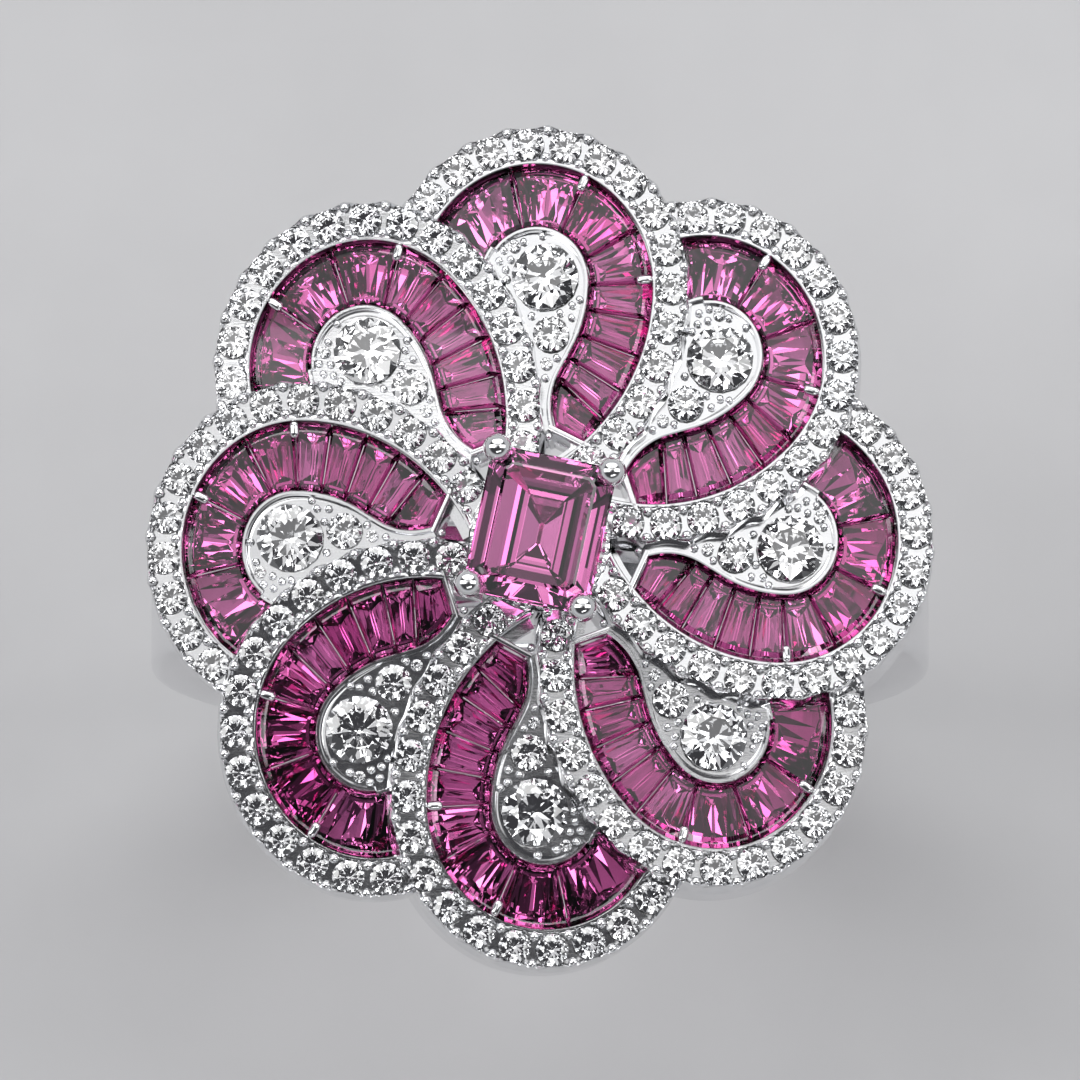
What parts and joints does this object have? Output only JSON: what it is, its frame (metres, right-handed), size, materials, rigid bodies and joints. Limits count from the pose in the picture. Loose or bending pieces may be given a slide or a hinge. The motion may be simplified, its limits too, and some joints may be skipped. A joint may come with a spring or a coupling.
{
  "type": "cocktail ring",
  "caption": "Flower-head cocktail ring: overlapping pave-rimmed petals with channels of tapered pink stones round a raised step-cut pink stone.",
  "frame": {"origin": "centre of the finger hole", "axes": "+Y along the finger, +Z from the finger through the middle of the flower head, +X across the finger"},
  "size_m": [0.0203, 0.0216, 0.0257],
  "materials": {
    "white_metal": "polished rhodium-white",
    "shank_metal": "polished rhodium-white",
    "pink_calibre": "polished facets",
    "pink_centre": "polished facets",
    "diamond": "polished facets"
  },
  "bodies": {
    "root": {"shank": "shank_metal", "shoulder_left": "shank_metal", "shoulder_right": "shank_metal", "gallery_ring": "white_metal", "gallery_posts": "white_metal", "centre_basket": "white_metal", "centre_claws": "white_metal", "centre_stone": "pink_centre", "petal_1_frame": "white_metal", "petal_1_calibre": "pink_calibre", "petal_1_prongs": "white_metal", "petal_1_rim_diamonds": "diamond", "petal_1_eye_diamonds": "diamond", "petal_2_frame": "white_metal", "petal_2_calibre": "pink_calibre", "petal_2_prongs": "white_metal", "petal_2_rim_diamonds": "diamond", "petal_2_eye_diamonds": "diamond", "petal_3_frame": "white_metal", "petal_3_calibre": "pink_calibre", "petal_3_prongs": "white_metal", "petal_3_rim_diamonds": "diamond", "petal_3_eye_diamonds": "diamond", "petal_4_frame": "white_metal", "petal_4_calibre": "pink_calibre", "petal_4_prongs": "white_metal", "petal_4_rim_diamonds": "diamond", "petal_4_eye_diamonds": "diamond", "petal_5_frame": "white_metal", "petal_5_calibre": "pink_calibre", "petal_5_prongs": "white_metal", "petal_5_rim_diamonds": "diamond", "petal_5_eye_diamonds": "diamond", "petal_6_frame": "white_metal", "petal_6_calibre": "pink_calibre", "petal_6_prongs": "white_metal", "petal_6_rim_diamonds": "diamond", "petal_6_eye_diamonds": "diamond", "petal_7_frame": "white_metal", "petal_7_calibre": "pink_calibre", "petal_7_prongs": "white_metal", "petal_7_rim_diamonds": "diamond", "petal_7_eye_diamonds": "diamond", "petal_8_frame": "white_metal", "petal_8_calibre": "pink_calibre", "petal_8_prongs": "white_metal", "petal_8_rim_diamonds": "diamond", "petal_8_eye_diamonds": "diamond"}
  },
  "joints": []
}
